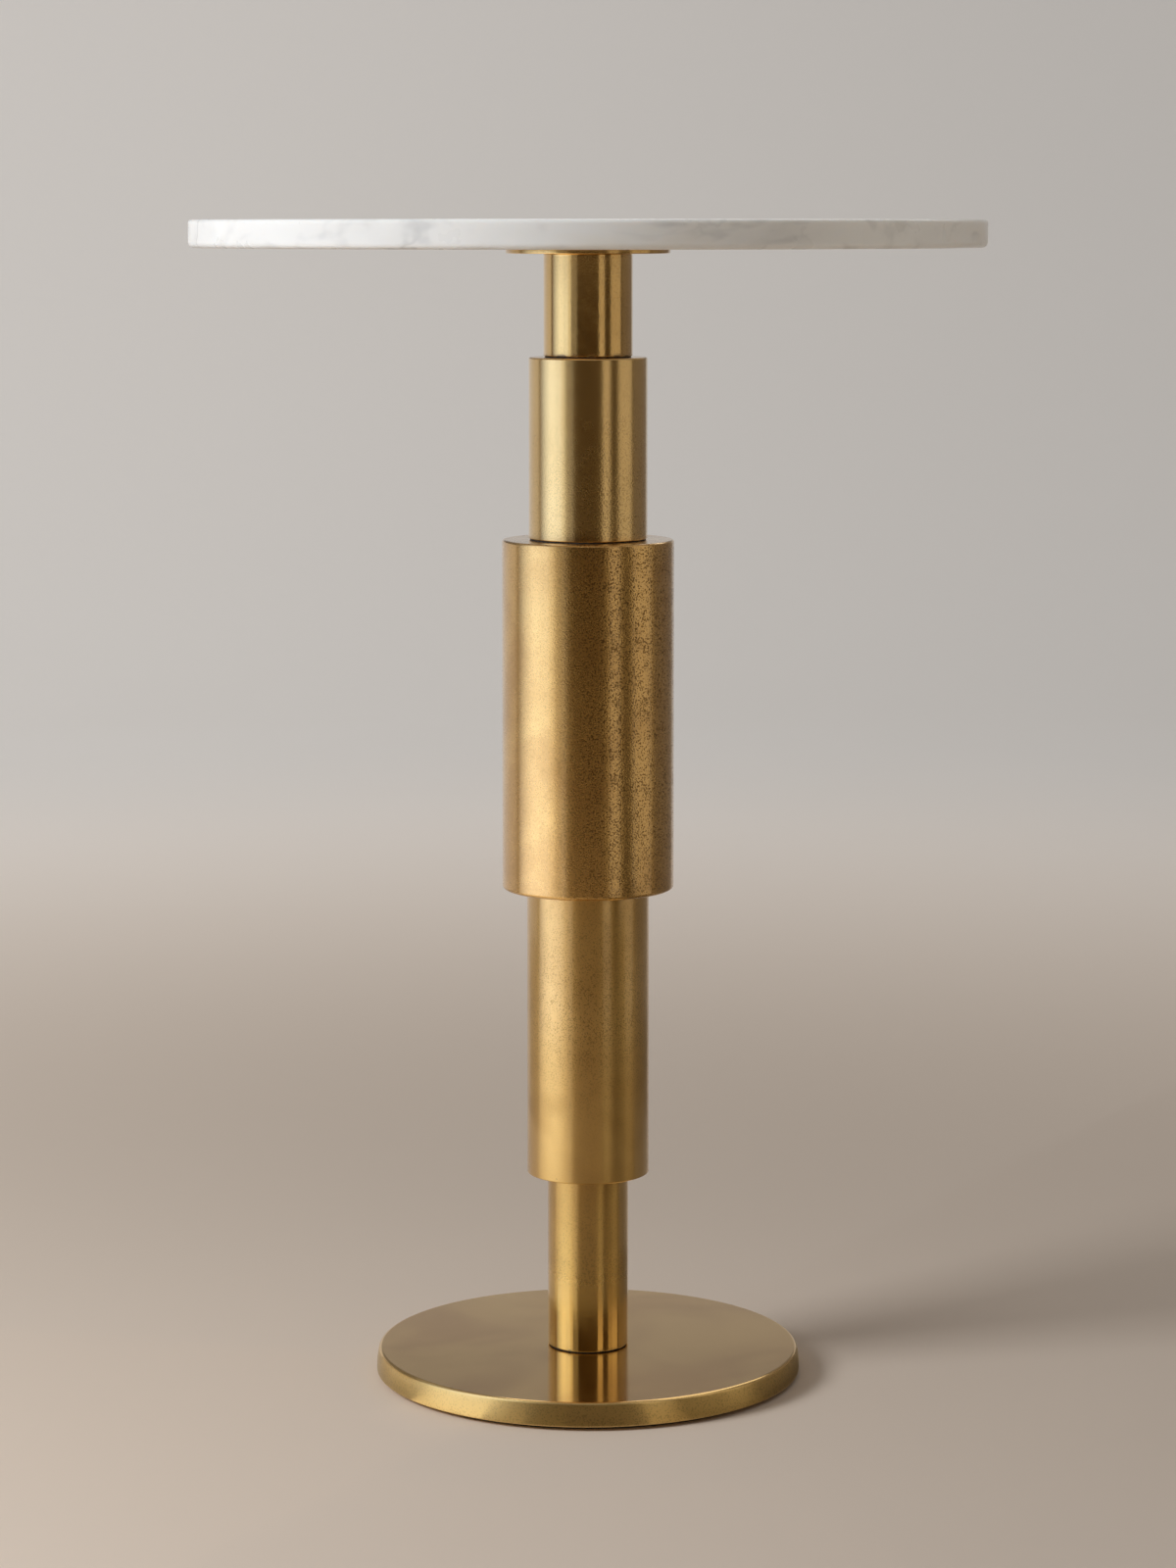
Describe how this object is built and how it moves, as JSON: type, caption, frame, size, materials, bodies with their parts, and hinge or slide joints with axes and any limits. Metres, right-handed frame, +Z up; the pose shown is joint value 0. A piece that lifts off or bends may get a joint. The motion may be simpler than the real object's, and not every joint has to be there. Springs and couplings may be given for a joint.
{
  "type": "side table",
  "caption": "Round side table: a polished marble top on a stepped column of hollow cast brass cylinders, clamped by a hidden tie rod to a round brass foot plate.",
  "frame": {"origin": "on the floor, on the axis of the column", "axes": "+Z up along the column; X and Y are any two square directions, because the table is round"},
  "size_m": [0.3999, 0.4, 0.588],
  "materials": {
    "marble": "polished white marble with soft grey veins",
    "cast_brass": "satin cast brass with fine casting pits",
    "plate_brass": "smooth satin brass plate",
    "turned_brass": "plain turned brass",
    "zinc_steel": "zinc-plated steel",
    "gasket": "thin black sheet rubber",
    "pad_rubber": "matt black rubber"
  },
  "bodies": {
    "root": {"base_bush": "turned_brass", "base_gasket": "gasket", "base_nut": "zinc_steel", "base_pad": "pad_rubber", "base_plate": "plate_brass", "base_spring_washer": "zinc_steel", "base_washer": "zinc_steel", "drum_end_plate": "cast_brass", "drum_gasket": "gasket", "drum_shell": "cast_brass", "flange_hub": "turned_brass", "flange_screws": "zinc_steel", "foot_gasket": "gasket", "foot_tube": "cast_brass", "hub_jam_nut": "zinc_steel", "lower_gasket": "gasket", "lower_sleeve": "cast_brass", "marble_top": "marble", "neck_tube": "cast_brass", "tie_rod": "zinc_steel", "top_bedding": "gasket", "top_flange": "plate_brass", "top_inserts": "turned_brass", "upper_gasket": "gasket", "upper_sleeve": "cast_brass"}
  },
  "joints": []
}
